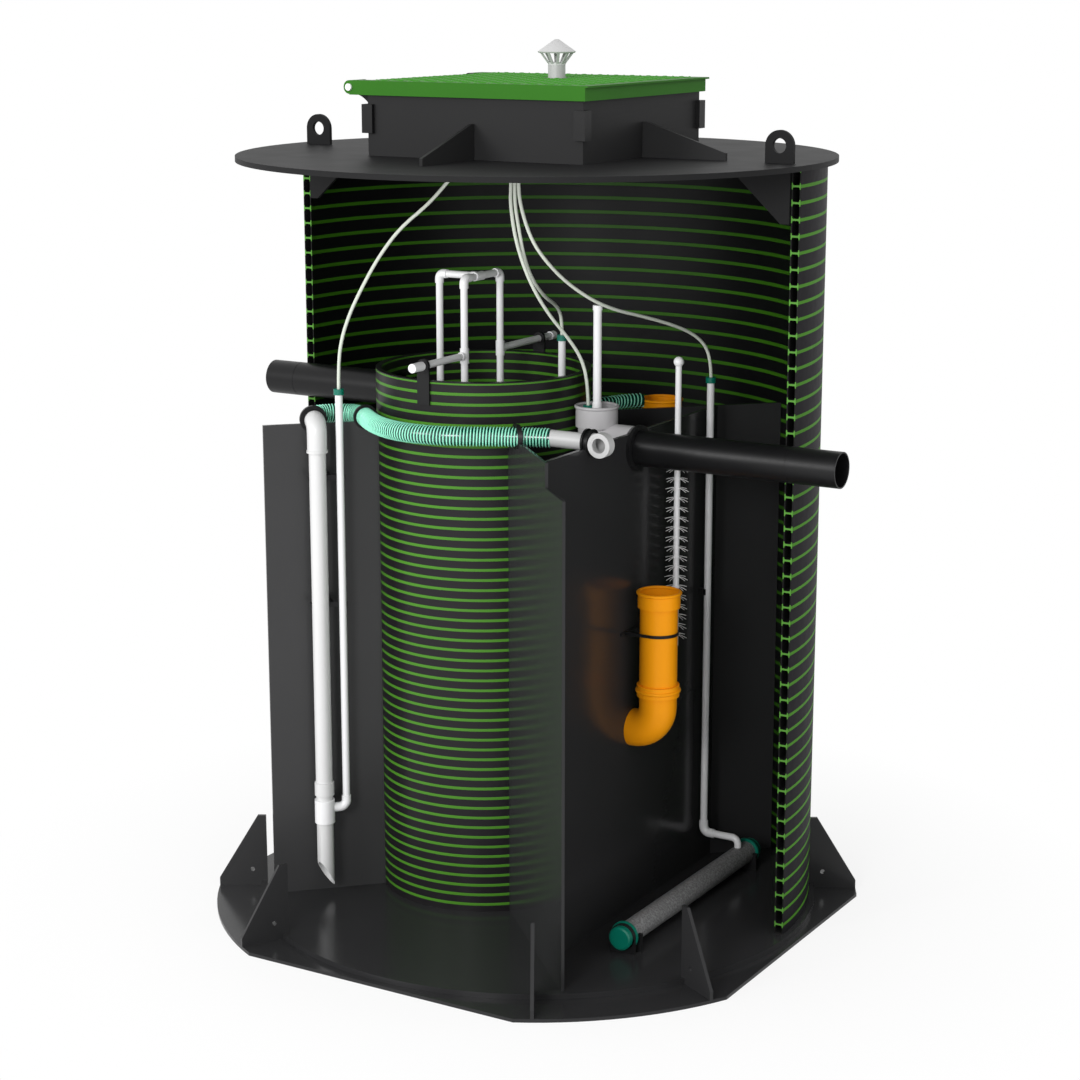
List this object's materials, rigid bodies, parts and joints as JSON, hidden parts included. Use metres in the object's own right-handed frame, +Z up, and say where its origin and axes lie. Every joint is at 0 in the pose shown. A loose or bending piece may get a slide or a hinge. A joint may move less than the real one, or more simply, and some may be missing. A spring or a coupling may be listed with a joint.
{
  "type": "packaged sewage treatment plant, cutaway",
  "caption": "Upright round sewage treatment tank, cut open at the front to show its partitions, wound inner column and pipework, with a hinged square lid that carries a vent cowl.",
  "frame": {"origin": "centre of the underside of the base plate, on the tank's axis", "axes": "+Z up; +X runs from the inlet pipe to the outlet pipe; -Y is the open, cut side"},
  "size_m": [1.913, 1.734, 2.55],
  "materials": {
    "dark_sheet": "satin extruded polyethylene sheet",
    "wound_wall": "black wound pipe wall with green webs",
    "black_plastic": "moulded black plastic",
    "green_lid": "moulded green plastic with raised grip pattern",
    "white_plastic": "white pressure pipe",
    "grey_plastic": "grey drain pipe",
    "orange_plastic": "orange-brown drain pipe",
    "teal_plastic": "dark teal moulded plastic",
    "spiral_hose": "clear hose with a teal spiral rib",
    "air_hose": "pale flexible air hose",
    "bristle": "stiff white bristles"
  },
  "bodies": {
    "root": {"air_drop_tubes": "white_plastic", "air_hose_column": "air_hose", "air_hose_cup": "air_hose", "air_hose_pump": "air_hose", "air_hose_zone": "air_hose", "air_manifold": "white_plastic", "airlift_clips": "black_plastic", "airlift_pipe": "grey_plastic", "airlift_tee": "white_plastic", "anchor_fins": "dark_sheet", "base_plate": "dark_sheet", "brush_bristles": "bristle", "brush_stem": "white_plastic", "corner_guards": "black_plastic", "diffuser_caps": "teal_plastic", "diffuser_saddles": "black_plastic", "diffuser_tube": "grey_plastic", "discharge_grommet": "black_plastic", "discharge_pipe": "white_plastic", "front_baffle": "dark_sheet", "hatch_neck": "dark_sheet", "hinge_ears": "dark_sheet", "hose_clips": "teal_plastic", "hose_collars": "black_plastic", "inlet_pipe": "black_plastic", "inlet_seal": "teal_plastic", "inner_column": "wound_wall", "lifting_lug_left": "dark_sheet", "lifting_lug_right": "dark_sheet", "neck_fins": "dark_sheet", "outlet_collar": "black_plastic", "outlet_pipe": "black_plastic", "outlet_tee": "grey_plastic", "partition_left": "dark_sheet", "partition_right": "dark_sheet", "rear_hose": "spiral_hose", "rear_pipe": "orange_plastic", "rear_strap": "black_plastic", "return_pipe": "orange_plastic", "return_strap": "black_plastic", "rim_brackets": "black_plastic", "riser_pipework": "white_plastic", "sampling_rod": "white_plastic", "settling_partition": "dark_sheet", "sludge_hose": "spiral_hose", "tank_floor": "dark_sheet", "top_plate": "dark_sheet", "wall_segment_1": "wound_wall", "wall_segment_2": "wound_wall", "wall_segment_3": "wound_wall", "wall_segment_4": "wound_wall", "zone_air_tube": "white_plastic", "zone_clips": "black_plastic"},
    "lid": {"hatch_lid": "green_lid", "hinge_pin": "white_plastic", "vent_pipe": "grey_plastic", "vent_cowl": "grey_plastic"}
  },
  "joints": [
    {"name": "lid_hinge", "type": "hinge", "parent": "root", "child": "lid", "pos_m": [-0.412, 0.0135, 2.422], "axis": [0, -1, 0], "range_deg": [0, 105]}
  ]
}
